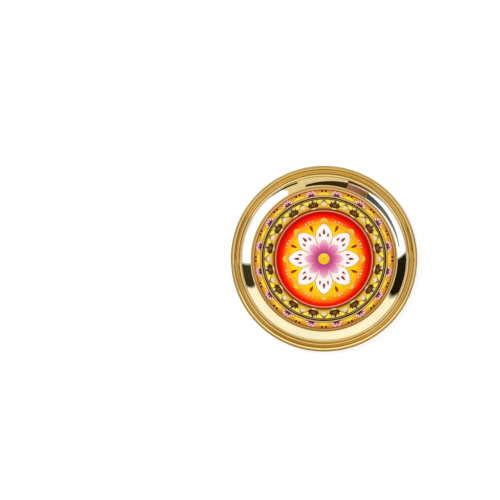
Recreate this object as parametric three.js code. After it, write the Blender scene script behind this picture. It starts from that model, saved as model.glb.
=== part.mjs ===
// Round decorative plate: a spun brass dish with a moulded, rolled rim, and a thin disc bonded into
// its well, on which a lotus ornament is printed in coats of enamel ink.
// Millimetres, +Z up, origin under the middle of the flat base, +Y towards the top of the ornament.
import * as THREE from "three";

// Dish
const plateDiameter = 230;
const plateHeight = 10; // from the base to the crest of the rim's bead
const sheet = 0.9; // thickness of the brass sheet
const wallFootSlope = 34; // degrees, where the wall leaves the cove
const wallTopSlope = 44; // degrees, where it meets the lip
const coveRadius = 2.6; // bend between the floor and the wall, at the middle of the sheet
const lipRadius = 1.6; // bend of the lip, at the middle of the sheet

// Rim mouldings, from the edge inwards
const rollRadius = 1.8; // outside of the rolled edge
const rollTurn = 215; // degrees that the edge is rolled round
const rollToGroove = 3.1;
const grooveToBead = 2.8;
const beadToChannel = 2.5;
const channelToLip = 2.4;
const rollFlank = 36; // degrees, the steepest slope between two neighbouring mouldings
const beadFlank = 50;
const lipFlank = 50;

// Printed disc, its bands from the edge inwards
const carrierMargin = 0.6; // floor left bare round the disc
const adhesiveInset = 0.6;
const enamelMargin = 2.7; // disc left bare outside the enamel
const outerBandWidth = 8.7;
const outerBareLine = 1.1; // bare line between the two bands
const innerBandWidth = 15.9;
const innerBareLine = 1.9; // bare line round the medallion
const outerOutlineWidth = 0.9;
const dividerWidth = 2.2;
const innerOutlineWidth = 1.5;

// Thicknesses of the layers
const adhesiveThickness = 0.15;
const carrierThickness = 0.4;
const enamelThickness = 0.3; // of each coat
const heartDome = 0.3;

// Ornament
const repeats = 16; // lotuses round each band
const motifClearance = 0.25; // between two pieces of one coat
const leafLine = 0.5; // line that joins the leaves of a band
const leafPoint = 1.3; // power that draws a leaf's sides in: 0.5 is round, 1.3 is pointed
const lotusPetals = 5;
const shoulderTurn = 0.28; // where a lotus petal's shoulders are, in steps from one petal to the next
const shoulderReach = 0.86; // how far out they are, as a share of the tips
const pinkLotusWidth = 14;
const pinkLotusFoot = 9.2; // width of its straight base
const pinkTipMargin = 0.3; // ground left free outside the pink lotus
const pinkFirstPetal = 14; // degrees that its lowest petals rise
const pinkValley = 0.78; // how far out the valleys between its petals are
const brownLotusWidth = 13;
const brownTipMargin = 0.7; // ground left free outside the brown lotus
const brownFirstPetal = 6;
const brownValley = 0.7;
const brownCupWidth = 9.2; // rounded cup under its petals
const brownCupHeight = 4.4;
const outerLeafMargin = 1.2; // ground left free between a leaf and the pink lotuses
const outerLeafTipMargin = 2.7; // ground left free outside its tip
const innerLeafWidth = 21;
const innerLeafTipMargin = 3.8;
const budLine = 0.4;
const budStem = 2.4;
const budWidth = 6.4;
const budHeight = 5.3;

// Rosette in the middle of the medallion
const rosettePetals = 8;
const haloMargin = 8; // red field left free outside the halo's tips
const haloLine = 0.9;
const haloTipHeight = 4.6;
const haloTipWidth = 14;
const petalRoot = 3; // radius where the petals start
const petalGap = 0.7; // between neighbouring petals
const petalTaperStart = 0.57; // share of a petal's length past which it narrows to its tip
const petalTaper = 0.75; // power of that narrowing
const innerFlowerValley = 16; // radius of the valleys between the inner flower's petals
const innerFlowerTip = 24;
const innerPetalWidth = 12;
const heartRadius = 7;

// Steps of the curves
const roundSegments = 4 * repeats; // so that the ornament's points lie on the corners of its rings
const coveSteps = 3;
const wallSteps = 2;
const lipSteps = 2;
const flankSteps = 2; // of each of a flank's two arcs
const rollTopSteps = 3; // of the rolled edge, down to its outermost point
const rollUnderSteps = 5;
const leafSteps = 5; // on each side of a leaf
const cupSteps = 6;
const petalSteps = 8;
const domeSteps = 4;

const halfTurn = Math.PI;
const radians = THREE.MathUtils.degToRad;

// Materials
const finish = (color, roughness, metalness = 0) =>
  new THREE.MeshStandardMaterial({ color, roughness, metalness });
const materials = {
  brass: finish(0xd9ac4e, 0.12, 1),
  adhesive: finish(0xe8e4d6, 0.8),
  carrier: finish(0xe6cf98, 0.3, 1),
  red: finish(0xe8120a, 0.25),
  orange: finish(0xe79a2c, 0.25),
  yellow: finish(0xf5dc2a, 0.25),
  darkBrown: finish(0x4a2410, 0.3),
  lotusBrown: finish(0x6b3a22, 0.3),
  pink: finish(0xd98fc0, 0.25),
  white: finish(0xf7f2ec, 0.22),
};

// Radii of the rim's crests and troughs, at the middle of the sheet
const plateRadius = plateDiameter / 2;
const rollBend = rollRadius - sheet / 2;
const rollAt = plateRadius - rollRadius;
const grooveAt = rollAt - rollToGroove;
const beadAt = grooveAt - grooveToBead;
const channelAt = beadAt - beadToChannel;
const lipAt = channelAt - channelToLip;

// Their heights: a flank of two equal arcs drops by its run times the tangent of half its slope
const drop = (run, flank) => run * Math.tan(radians(flank) / 2);
const beadZ = plateHeight - sheet / 2;
const channelZ = beadZ - drop(beadToChannel, beadFlank);
const lipZ = channelZ + drop(channelToLip, lipFlank);
const grooveZ = beadZ - drop(grooveToBead, beadFlank);
const rollZ = grooveZ + drop(rollToGroove, rollFlank);

// Floor, cove and wall: the wall is a wide arc whose slope grows from its foot to its top
const floorZ = sheet / 2;
const wallTopAt = lipAt - lipRadius * Math.sin(radians(wallTopSlope));
const wallTopZ = lipZ - lipRadius * (1 - Math.cos(radians(wallTopSlope)));
const wallFootZ = floorZ + coveRadius * (1 - Math.cos(radians(wallFootSlope)));
const wallRun = (wallTopZ - wallFootZ) / Math.tan(radians((wallFootSlope + wallTopSlope) / 2));
const wallFootAt = wallTopAt - wallRun;
const wallRadius =
  wallRun / (Math.sin(radians(wallTopSlope)) - Math.sin(radians(wallFootSlope)));
const floorRadius = wallFootAt - coveRadius * Math.sin(radians(wallFootSlope));

// Bands of the enamelled disc
const carrierRadius = floorRadius - carrierMargin;
const enamelRadius = carrierRadius - enamelMargin;
const outerBandInner = enamelRadius - outerBandWidth;
const innerBandOuter = outerBandInner - outerBareLine;
const innerBandInner = innerBandOuter - innerBandWidth;
const medallionRadius = innerBandInner - innerBareLine;

// Heights at which the layers start
const adhesiveZ = sheet;
const carrierZ = adhesiveZ + adhesiveThickness;
const coatZ = (coat) => carrierZ + carrierThickness + coat * enamelThickness;

// An arc of the sheet's middle line, round (x, y) between two angles in degrees
function bend(x, y, radius, from, to) {
  return new THREE.EllipseCurve(x, y, radius, radius, radians(from), radians(to), to < from);
}

// Adds the two arcs of the flank between a crest and a trough, walked outwards
function addFlank(stretches, startR, startZ, endR, endZ, slope) {
  const radius = (endR - startR) / 2 / Math.sin(radians(slope));
  const falls = endZ < startZ;
  const startBend = falls
    ? bend(startR, startZ - radius, radius, 90, 90 - slope)
    : bend(startR, startZ + radius, radius, 270, 270 + slope);
  const endBend = falls
    ? bend(endR, endZ + radius, radius, 270 - slope, 270)
    : bend(endR, endZ - radius, radius, 90 + slope, 90);
  stretches.push([startBend, flankSteps], [endBend, flankSteps]);
}

// The sheet's middle line as [curve, steps], from the axis to the end of the rolled edge
function sheetLine() {
  const centre = new THREE.Vector2(0, floorZ);
  const floor = new THREE.LineCurve(centre, new THREE.Vector2(floorRadius, floorZ));
  const cove = bend(floorRadius, floorZ + coveRadius, coveRadius, 270, 270 + wallFootSlope);
  const wallX = wallFootAt - wallRadius * Math.sin(radians(wallFootSlope));
  const wallY = wallFootZ + wallRadius * Math.cos(radians(wallFootSlope));
  const wall = bend(wallX, wallY, wallRadius, 270 + wallFootSlope, 270 + wallTopSlope);
  const lip = bend(lipAt, lipZ - lipRadius, lipRadius, 90 + wallTopSlope, 90);
  const stretches = [
    [floor, 1],
    [cove, coveSteps],
    [wall, wallSteps],
    [lip, lipSteps],
  ];
  addFlank(stretches, lipAt, lipZ, channelAt, channelZ, lipFlank);
  addFlank(stretches, channelAt, channelZ, beadAt, beadZ, beadFlank);
  addFlank(stretches, beadAt, beadZ, grooveAt, grooveZ, beadFlank);
  addFlank(stretches, grooveAt, grooveZ, rollAt, rollZ, rollFlank);
  const rollY = rollZ - rollBend;
  stretches.push([bend(rollAt, rollY, rollBend, 90, 0), rollTopSteps]);
  stretches.push([bend(rollAt, rollY, rollBend, 0, 90 - rollTurn), rollUnderSteps]);
  return stretches;
}

// A closed profile: the underside from the axis to the rolled edge, and the upper face back
function dishProfile() {
  const top = [new THREE.Vector2(0, sheet)];
  const under = [new THREE.Vector2(0, 0)];
  for (const [curve, steps] of sheetLine()) {
    for (let step = 1; step <= steps; step += 1) {
      const point = curve.getPoint(step / steps);
      const along = curve.getTangent(step / steps);
      const across = new THREE.Vector2(-along.y, along.x).multiplyScalar(sheet / 2);
      top.push(point.clone().add(across));
      under.push(point.clone().sub(across));
    }
  }
  return [...under, ...top.reverse()];
}

// A profile of radius and height, turned round the plate's axis
function turned(profile) {
  return new THREE.LatheGeometry(profile, roundSegments).rotateX(halfTurn / 2);
}

// A flat disc, or a ring where inner isn't 0, between two heights
function ringGeometry(inner, outer, bottom, thickness) {
  const profile = [
    new THREE.Vector2(inner, bottom),
    new THREE.Vector2(outer, bottom),
    new THREE.Vector2(outer, bottom + thickness),
    new THREE.Vector2(inner, bottom + thickness),
  ];
  return turned(inner > 0 ? [...profile, profile[0].clone()] : profile);
}

// A leaf's edge as [across, out] pairs, from its left foot over the tip to its right foot
function leafOutline(width, height) {
  const points = [];
  for (let step = -leafSteps; step <= leafSteps; step += 1) {
    const share = step / leafSteps;
    points.push([(width / 2) * share, height * Math.cos((share * halfTurn) / 2) ** leafPoint]);
  }
  return points;
}

// A bud on its stem, a bell with three lobes, from the stem's left foot to its right foot
function budOutline() {
  const half = budWidth / 2;
  const reach = budStem + budHeight;
  const right = [
    [budLine / 2, 0],
    [budLine / 2, budStem],
    [0.62 * half, budStem + 0.3 * budHeight],
    [half, budStem + 0.8 * budHeight],
    [0.72 * half, budStem + 0.95 * budHeight],
    [0.4 * half, budStem + 0.85 * budHeight],
    [0.2 * half, reach],
  ];
  return [...right.map(([across, out]) => [-across, out]), ...right.reverse()];
}

// A point of the plate's plane, its angle clockwise from +Y
function polar(radius, angle) {
  return new THREE.Vector2(radius * Math.sin(angle), radius * Math.cos(angle));
}

// A closed polygon that repeats an outline round a circle: side 1 stands outwards, -1 inwards.
// One more point on the circle, halfway to the next copy, keeps the line between two copies round
function repeatedOutline(outline, count, radius, side) {
  const points = [];
  for (let copy = 0; copy < count; copy += 1) {
    const middle = (copy / count) * 2 * halfTurn;
    for (const [across, out] of outline) {
      const at = radius + side * out;
      points.push(polar(at, middle + across / at));
    }
    points.push(polar(radius, middle + halfTurn / count));
  }
  return points;
}

function circlePoints(radius) {
  const points = [];
  for (let corner = 0; corner < roundSegments; corner += 1) {
    points.push(polar(radius, (corner / roundSegments) * 2 * halfTurn));
  }
  return points;
}

// A flat piece of enamel between two edges that run the same way
function coatPiece(edge, hole = []) {
  const shape = new THREE.Shape(edge);
  if (hole.length > 0) shape.holes.push(new THREE.Path([...hole].reverse()));
  return new THREE.ExtrudeGeometry(shape, { depth: enamelThickness, bevelEnabled: false });
}

// A fan of pointed petals above y = foot, from right to left: their tips lie on half an ellipse
function fanPoints(width, height, foot, firstAngle, valley) {
  const shoulders = [
    [-shoulderTurn, shoulderReach],
    [0, 1],
    [shoulderTurn, shoulderReach],
    [0.5, valley],
  ];
  const points = [];
  const step = (180 - 2 * firstAngle) / (lotusPetals - 1);
  for (let petal = 0; petal < lotusPetals; petal += 1) {
    for (const [turn, reach] of shoulders) {
      const angle = radians(firstAngle + step * (petal + turn));
      const across = (width / 2) * reach * Math.cos(angle);
      points.push(new THREE.Vector2(across, foot + height * reach * Math.sin(angle)));
    }
  }
  points.pop(); // the valley past the last petal
  return points;
}

// Half-open lotus of the outer band, seen from the side, its base on y = 0
function pinkLotusGeometry(height) {
  const fan = fanPoints(pinkLotusWidth, height, 0, pinkFirstPetal, pinkValley);
  const left = new THREE.Vector2(-pinkLotusFoot / 2, 0);
  const right = new THREE.Vector2(pinkLotusFoot / 2, 0);
  return coatPiece([...fan, left, right]);
}

// Open lotus of the inner band: a fan of petals over a rounded cup, its base on y = 0
function brownLotusGeometry(height) {
  const reach = height - brownCupHeight;
  const edge = fanPoints(brownLotusWidth, reach, brownCupHeight, brownFirstPetal, brownValley);
  for (let step = 1; step < cupSteps; step += 1) {
    const angle = (step / cupSteps) * halfTurn;
    const across = (-brownCupWidth / 2) * Math.cos(angle);
    edge.push(new THREE.Vector2(across, brownCupHeight * (1 - Math.sin(angle))));
  }
  return coatPiece(edge);
}

// Rosette: its petals reach from their root to the halo, whose tips stand inside the red field
const haloOuter = medallionRadius - haloMargin - haloTipHeight;
const haloInner = haloOuter - haloLine;
const petalTip = haloInner - petalGap;

// A petal fills its sector up to the gaps, then narrows to its tip
function rosettePetalGeometry() {
  const sector = halfTurn / rosettePetals;
  const right = [];
  for (let step = 0; step < petalSteps; step += 1) {
    const share = step / petalSteps;
    const out = petalRoot + (petalTip - petalRoot) * share;
    const room = out * Math.tan(sector) - petalGap / 2 / Math.cos(sector);
    const narrowing = ((1 - share) / (1 - petalTaperStart)) ** petalTaper;
    right.push(new THREE.Vector2(room * Math.min(1, narrowing), out));
  }
  const left = right.map(({ x, y }) => new THREE.Vector2(-x, y)).reverse();
  return coatPiece([...right, new THREE.Vector2(0, petalTip), ...left]);
}

function innerFlowerGeometry() {
  const outline = leafOutline(innerPetalWidth, innerFlowerTip - innerFlowerValley);
  return coatPiece(repeatedOutline(outline, rosettePetals, innerFlowerValley, 1));
}

function rosetteHeartGeometry() {
  const profile = [new THREE.Vector2(0, 0), new THREE.Vector2(heartRadius, 0)];
  for (let step = 0; step < domeSteps; step += 1) {
    const angle = (step / domeSteps) * (halfTurn / 2);
    const rise = enamelThickness + heartDome * Math.sin(angle);
    profile.push(new THREE.Vector2(heartRadius * Math.cos(angle), rise));
  }
  profile.push(new THREE.Vector2(0, enamelThickness + heartDome));
  return turned(profile);
}

const plate = new THREE.Group();

function add(name, geometry, material, z = 0) {
  const mesh = new THREE.Mesh(geometry, material);
  mesh.name = name;
  mesh.position.z = z;
  plate.add(mesh);
}

// Copies of one piece round a circle. Turn is in steps of one repeat, clockwise from +Y
function addRound(name, geometry, material, count, turn, radius, z) {
  for (let copy = 0; copy < count; copy += 1) {
    const arm = new THREE.Group();
    arm.rotation.z = (-(copy + turn) / count) * 2 * halfTurn;
    const mesh = new THREE.Mesh(geometry, material);
    mesh.name = `${name}_${String(copy + 1).padStart(2, "0")}`;
    mesh.position.set(0, radius, z);
    arm.add(mesh);
    plate.add(arm);
  }
}

function addCarrier() {
  const adhesiveRadius = carrierRadius - adhesiveInset;
  const film = ringGeometry(0, adhesiveRadius, adhesiveZ, adhesiveThickness);
  add("adhesive_film", film, materials.adhesive);
  add("carrier_disc", ringGeometry(0, carrierRadius, carrierZ, carrierThickness), materials.carrier);
}

// First coat: the coloured grounds
function addGrounds() {
  const ground = (inner, outer) => ringGeometry(inner, outer, coatZ(0), enamelThickness);
  add("medallion_ground", ground(0, medallionRadius), materials.red);
  add("inner_band_ground", ground(innerBandInner, innerBandOuter), materials.orange);
  add("outer_band_ground", ground(outerBandInner, enamelRadius), materials.orange);
}

// Second coat: the dark lines that edge the bands
function addOutlines() {
  const line = (inner, outer) => ringGeometry(inner, outer, coatZ(1), enamelThickness);
  const innerLine = line(innerBandInner, innerBandInner + innerOutlineWidth);
  const divider = line(innerBandOuter - dividerWidth, innerBandOuter);
  const outerLine = line(enamelRadius - outerOutlineWidth, enamelRadius);
  add("inner_outline", innerLine, materials.darkBrown);
  add("band_divider", divider, materials.darkBrown);
  add("outer_outline", outerLine, materials.darkBrown);
}

function addOuterBand() {
  const lineStart = outerBandInner + motifClearance;
  const lineEnd = lineStart + leafLine;
  const bandEnd = enamelRadius - outerOutlineWidth;
  const pitch = (2 * halfTurn * lineEnd) / repeats;
  const leafWidth = pitch - pinkLotusWidth - 2 * outerLeafMargin;
  const leaves = leafOutline(leafWidth, bandEnd - outerLeafTipMargin - lineEnd);
  const edge = repeatedOutline(leaves, repeats, lineEnd, 1);
  add("outer_leaf_ring", coatPiece(edge, circlePoints(lineStart)), materials.yellow, coatZ(1));
  const lotusAt = lineEnd + motifClearance;
  const lotus = pinkLotusGeometry(bandEnd - pinkTipMargin - lotusAt);
  addRound("pink_lotus", lotus, materials.pink, repeats, 0.5, lotusAt, coatZ(1));
}

function addInnerBand() {
  const bandStart = innerBandInner + innerOutlineWidth;
  const lineEnd = innerBandOuter - dividerWidth - motifClearance;
  const lineStart = lineEnd - leafLine;
  const leaves = leafOutline(innerLeafWidth, lineStart - innerLeafTipMargin - bandStart);
  const edge = repeatedOutline(leaves, repeats, lineStart, -1);
  add("inner_leaf_ring", coatPiece(circlePoints(lineEnd), edge), materials.yellow, coatZ(1));
  const budEdge = repeatedOutline(budOutline(), repeats, lineStart + budLine / 2, -1);
  const budRing = coatPiece(circlePoints(lineEnd - motifClearance / 2), budEdge);
  add("bud_garland", budRing, materials.white, coatZ(2));
  const lotusAt = bandStart + motifClearance;
  const lotus = brownLotusGeometry(lineStart - brownTipMargin - lotusAt);
  addRound("brown_lotus", lotus, materials.lotusBrown, repeats, 0.5, lotusAt, coatZ(1));
}

function addRosette() {
  const tips = leafOutline(haloTipWidth, haloTipHeight);
  const haloEdge = repeatedOutline(tips, rosettePetals, haloOuter, 1);
  add("rosette_halo", coatPiece(haloEdge, circlePoints(haloInner)), materials.orange, coatZ(1));
  const petal = rosettePetalGeometry();
  addRound("rosette_petal", petal, materials.white, rosettePetals, 0, 0, coatZ(1));
  add("rosette_inner_flower", innerFlowerGeometry(), materials.pink, coatZ(2));
  add("rosette_heart", rosetteHeartGeometry(), materials.yellow, coatZ(3));
}

add("dish", turned(dishProfile()), materials.brass);
addCarrier();
addGrounds();
addOutlines();
addOuterBand();
addInnerBand();
addRosette();

export default plate;
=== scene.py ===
"""Looks of a round brass plate: a spun dish with a rolled rim, and a printed disc in its well.

Sizes are in millimetres and bearings in degrees clockwise from +Y, unless a comment says otherwise.
"""

from math import ceil, cos, degrees, hypot, log, pi, radians, sin, sqrt, tan

import bmesh
import bpy
from mathutils import Matrix, Vector


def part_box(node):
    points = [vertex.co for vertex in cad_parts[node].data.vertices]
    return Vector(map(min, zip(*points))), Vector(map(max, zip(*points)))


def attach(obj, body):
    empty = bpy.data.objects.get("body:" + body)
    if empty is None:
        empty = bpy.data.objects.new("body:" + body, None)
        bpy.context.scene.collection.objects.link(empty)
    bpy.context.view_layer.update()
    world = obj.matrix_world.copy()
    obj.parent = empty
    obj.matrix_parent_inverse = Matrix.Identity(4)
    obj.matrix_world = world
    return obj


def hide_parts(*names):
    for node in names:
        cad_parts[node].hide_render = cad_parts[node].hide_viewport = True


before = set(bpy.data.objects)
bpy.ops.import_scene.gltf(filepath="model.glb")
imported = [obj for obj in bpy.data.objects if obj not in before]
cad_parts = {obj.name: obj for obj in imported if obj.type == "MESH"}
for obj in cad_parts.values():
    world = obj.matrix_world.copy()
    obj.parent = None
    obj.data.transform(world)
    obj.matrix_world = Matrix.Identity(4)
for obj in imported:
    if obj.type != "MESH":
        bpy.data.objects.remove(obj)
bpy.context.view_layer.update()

MM = 0.001


# Sizes that the frame gives


def outer_radius(node):
    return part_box(node)[1].x / MM


def inner_radius(node):
    return min(hypot(v.co.x, v.co.y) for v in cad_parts[node].data.vertices) / MM


def heights(node):
    low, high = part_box(node)
    return low.z / MM, high.z / MM


PLATE_RADIUS = outer_radius("dish")
PLATE_HEIGHT = heights("dish")[1]
DISC_RADIUS = outer_radius("carrier_disc")
OUTER_BAND = (inner_radius("outer_band_ground"), outer_radius("outer_band_ground"))
INNER_BAND = (inner_radius("inner_band_ground"), outer_radius("inner_band_ground"))
MEDALLION_RADIUS = outer_radius("medallion_ground")
COAT_0 = heights("medallion_ground")
COAT_1 = heights("inner_outline")
COAT_2 = heights("bud_garland")
COAT_3 = heights("rosette_heart")

# Dish: these are the part's own driving sizes
SHEET = 0.9
WALL_FOOT_SLOPE = 34
WALL_TOP_SLOPE = 44
COVE_RADIUS = 2.6
LIP_RADIUS = 1.6
ROLL_RADIUS = 1.8
ROLL_TURN = 215
ROLL_TO_GROOVE = 3.1
GROOVE_TO_BEAD = 2.8
BEAD_TO_CHANNEL = 2.5
CHANNEL_TO_LIP = 2.4
ROLL_FLANK = 36
BEAD_FLANK = 50
LIP_FLANK = 50


def drop(run, slope):
    """How far a flank of two equal arcs falls."""
    return run * tan(radians(slope) / 2)


# Crests and troughs of the sheet's middle line, as (radius, height), then its floor and wall
BEAD = (PLATE_RADIUS - ROLL_RADIUS - ROLL_TO_GROOVE - GROOVE_TO_BEAD, PLATE_HEIGHT - SHEET / 2)
GROOVE = (BEAD[0] + GROOVE_TO_BEAD, BEAD[1] - drop(GROOVE_TO_BEAD, BEAD_FLANK))
ROLL = (GROOVE[0] + ROLL_TO_GROOVE, GROOVE[1] + drop(ROLL_TO_GROOVE, ROLL_FLANK))
CHANNEL = (BEAD[0] - BEAD_TO_CHANNEL, BEAD[1] - drop(BEAD_TO_CHANNEL, BEAD_FLANK))
LIP = (CHANNEL[0] - CHANNEL_TO_LIP, CHANNEL[1] + drop(CHANNEL_TO_LIP, LIP_FLANK))
TOP_TURN = radians(WALL_TOP_SLOPE)
FOOT_TURN = radians(WALL_FOOT_SLOPE)
WALL_TOP = (
    LIP[0] - LIP_RADIUS * sin(TOP_TURN),
    LIP[1] - LIP_RADIUS * (1 - cos(TOP_TURN)),
)
FOOT_HEIGHT = SHEET / 2 + COVE_RADIUS * (1 - cos(FOOT_TURN))
WALL_RUN = (WALL_TOP[1] - FOOT_HEIGHT) / tan((FOOT_TURN + TOP_TURN) / 2)
WALL_FOOT = (WALL_TOP[0] - WALL_RUN, FOOT_HEIGHT)
FLOOR_RADIUS = WALL_FOOT[0] - COVE_RADIUS * sin(FOOT_TURN)

# Ornament: widths, gaps and radii
REPEATS = 16
CLEARANCE = 0.25
LEAF_LINE = 0.5
INNER_LINE = 1.5
PINK_LOTUS_WIDTH = 14
LEAF_GAP = 0.8
OUTER_LEAF_TOP = 82.9
AMBER_TOP = 85.3
INNER_LEAF_WIDTH = 21
INNER_LEAF_TOP = 65.6
ROSETTE_PETALS = 8
ROSETTE_PITCH = 360 / ROSETTE_PETALS
PETAL_ROOT = 3
PETAL_GAP = 0.7
PETAL_TAPER_START = 0.57
PETAL_TAPER = 0.75
HALO_LINE = 0.9
HALO_TIP = (14, 4.6)
FLOWER_DISC_RADIUS = 10

# Rounding of the coats' top corners
COAT_EDGE = 0.06
FINE_EDGE = 0.03

# Fineness of the curves: steps in a round or an outline, and angles
ROUND_STEPS = 256
OUTLINE_STEPS = 14
ARC_STEP = 4
WALL_STEP = 0.5
SHARP_ANGLE = 48

# Photograph: its size and the rim's circle in pixels, and the camera that sees the rim there
PHOTO_SIZE = 500
PHOTO_RIM_CENTRE = (323.97, 258.36)
PHOTO_RIM_RADIUS = 93.25
ELEVATION = 85
LENS = 200
SENSOR = 36
FOCAL_PIXELS = LENS / SENSOR * PHOTO_SIZE
RIM_MIDDLE = Vector((0, 0, BEAD[1] * MM))
CAMERA_BACK = Vector((0, -cos(radians(ELEVATION)), sin(radians(ELEVATION))))
CAMERA_PLACE = RIM_MIDDLE + CAMERA_BACK * FOCAL_PIXELS * PLATE_RADIUS * MM / PHOTO_RIM_RADIUS


# Colours


def linear(red, green, blue):
    """A colour as it is seen, 0 to 255, as the light values that shaders take."""
    def channel(value):
        share = value / 255
        return share / 12.92 if share <= 0.04045 else ((share + 0.055) / 1.055) ** 2.4
    return (channel(red), channel(green), channel(blue), 1)


# Shader nodes


# Noise runs from 0 to 1, but most of it lies between these two
NOISE_SPAN = (0.3, 0.7)


class Nodes:
    """Short calls that add linked nodes to a material or a world."""

    def __init__(self, owner):
        owner.use_nodes = True
        self.tree = owner.node_tree
        self.tree.nodes.clear()

    def add(self, kind, inputs=None, **settings):
        node = self.tree.nodes.new("ShaderNode" + kind)
        for name, value in settings.items():
            setattr(node, name, value)
        for name, value in (inputs or {}).items():
            if isinstance(value, bpy.types.NodeSocket):
                self.tree.links.new(value, node.inputs[name])
            else:
                node.inputs[name].default_value = value
        return node

    def math(self, operation, first, second=0.0, clamp=False):
        inputs = {0: first, 1: second}
        return self.add("Math", inputs, operation=operation, use_clamp=clamp).outputs[0]

    def between(self, value, low, high, to_low=0.0, to_high=1.0):
        """The value's share of the way from low to high, stretched to the other two."""
        limits = {"From Min": low, "From Max": high, "To Min": to_low, "To Max": to_high}
        return self.add("MapRange", {"Value": value, **limits}, clamp=True).outputs[0]

    def ramp(self, share, stops):
        """Colours at places from 0 to 1. Each stop is a place, red, green and blue."""
        node = self.add("ValToRGB", {0: share})
        elements = node.color_ramp.elements
        while len(elements) < len(stops):
            elements.new(0.5)
        for element, stop in zip(elements, stops):
            element.position = stop[0]
        for element, stop in zip(elements, stops):
            element.color = linear(*stop[1:])
        return node.outputs[0]

    def mix(self, share, first, second, blend="MIX"):
        inputs = {0: share, 6: first, 7: second}
        return self.add("Mix", inputs, data_type="RGBA", blend_type=blend).outputs[2]

    def place(self):
        return self.add("TexCoord").outputs["Object"]

    def length(self, vector, factors=(1, 1, 0)):
        """Length of a vector, after its three values are multiplied by the factors."""
        scaled = self.add("VectorMath", {0: vector, 1: factors}, operation="MULTIPLY")
        return self.add("VectorMath", {0: scaled.outputs[0]}, operation="LENGTH").outputs["Value"]

    def radius(self):
        """Distance from the object's upright axis, in metres."""
        return self.length(self.place())

    def ramp_outwards(self, stops):
        """Colours at radii."""
        first, last = stops[0][0], stops[-1][0]
        share = self.between(self.radius(), first * MM, last * MM)
        return self.ramp(share, [((at - first) / (last - first), *rgb) for at, *rgb in stops])

    def noise(self, scale, detail):
        inputs = {"Vector": self.place(), "Scale": scale, "Detail": detail}
        return self.add("TexNoise", inputs).outputs[0]

    def rings(self, scale, detail):
        """Noise that changes only with the radius, as the marks of spinning do."""
        inputs = {"W": self.radius(), "Scale": scale, "Detail": detail}
        return self.add("TexNoise", inputs, noise_dimensions="1D").outputs[0]

    def varied(self, noise, low, high):
        """A value that the noise moves between two limits."""
        return self.between(noise, *NOISE_SPAN, low, high)

    def patchy(self, colour, noise, low, high):
        """The colour, darkened and lightened by the noise."""
        return self.mix(1.0, colour, self.varied(noise, low, high), blend="MULTIPLY")

    def bump(self, height, distance):
        return self.add("Bump", {"Height": height, "Distance": distance}).outputs[0]

    def stored(self, name):
        """A value that each point of the mesh keeps."""
        return self.add("Attribute", attribute_name=name).outputs["Fac"]

    def surface(self, settings):
        """Ends the material in one principled shader."""
        self.finish(self.add("BsdfPrincipled", settings).outputs[0])

    def finish(self, shader, kind="OutputMaterial"):
        self.tree.links.new(shader, self.tree.nodes.new("ShaderNode" + kind).inputs["Surface"])


def new_material(name):
    material = bpy.data.materials.new(name)
    return material, Nodes(material)


# Materials of the plate


def brass_material():
    """Polished, lacquered brass, pale on the wall, with painted reflection as deeper gold on the
    mouldings and painted shade in the hollows.
    """
    material, nodes = new_material("polished_brass")
    brass_tones_with_painted_light = (
        # Cove, then wall: the darker band at the cove's foot, by the disc's edge, is painted shade
        (86.8, 226, 188, 112), (87.4, 176, 132, 76), (88.8, 184, 142, 86),
        (89.9, 246, 228, 170), (101.0, 246, 228, 170),
        # Lip, then channel: deeper gold as painted reflection, the dark line in the channel as
        # painted shade
        (101.8, 202, 172, 108), (102.5, 250, 230, 160), (103.8, 240, 212, 134), (104.4, 196, 150, 58),
        (104.9, 104, 74, 14), (105.4, 224, 176, 68),
        # Bead, then groove: deeper gold as painted reflection, the dark line in the groove as painted
        # shade
        (106.0, 246, 216, 120), (106.7, 228, 184, 76), (107.6, 208, 158, 62), (108.8, 214, 168, 70),
        (109.7, 196, 152, 56), (110.3, 108, 80, 16), (110.9, 226, 180, 66),
        # Rolled edge: deeper gold as painted reflection, the dark line where it turns under as
        # painted shade
        (111.8, 250, 224, 136), (112.9, 240, 214, 144), (113.8, 192, 166, 96),
        (114.3, 104, 86, 36), (115.0, 184, 162, 98),
    )
    tint = nodes.patchy(nodes.ramp_outwards(brass_tones_with_painted_light), nodes.noise(26.0, 4.0), 0.94, 1.04)
    nodes.surface({
        "Base Color": tint,
        "Metallic": 1.0,
        "Roughness": nodes.varied(nodes.rings(1400.0, 4.0), 0.02, 0.05),
        "Normal": nodes.bump(nodes.noise(22.0, 1.0), 0.03 * MM),
        "Coat Weight": 0.35,
        "Coat Roughness": 0.02,
    })
    return material


def ink_shader(nodes, colour):
    """Printed ink under clear lacquer: faint mottling, a slightly uneven sheen and surface."""
    nodes.surface({
        "Base Color": nodes.patchy(colour, nodes.noise(420.0, 4.0), 0.94, 1.03),
        "Roughness": nodes.varied(nodes.noise(900.0, 2.0), 0.3, 0.41),
        "Specular IOR Level": 0.0,
        "Normal": nodes.bump(nodes.noise(700.0, 2.0), 0.01 * MM),
        "Coat Weight": 0.8,
        "Coat Roughness": 0.05,
        "Coat IOR": 1.16,
    })


def ink(name, stops, rim=None, rim_reach=(0.8, 1.0), rim_share=1.0):
    """Ink whose colour runs from the root of each shape to its tip, and whose rim has its own."""
    material, nodes = new_material(name)
    colour = nodes.ramp(nodes.stored("along"), stops)
    if rim is not None:
        edge = nodes.between(nodes.stored("rim"), *rim_reach, 0.0, rim_share)
        colour = nodes.mix(edge, colour, linear(*rim))
    ink_shader(nodes, colour)
    return material


def ring_ink(name, stops):
    """Ink whose colour runs outwards. Stops are radii with their colours."""
    material, nodes = new_material(name)
    ink_shader(nodes, nodes.ramp_outwards(stops))
    return material


def spread(inner, outer, stops):
    """Stops at shares of the way from one radius to another, as stops at radii."""
    return [(inner + (outer - inner) * share, *colour) for share, *colour in stops]


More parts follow.
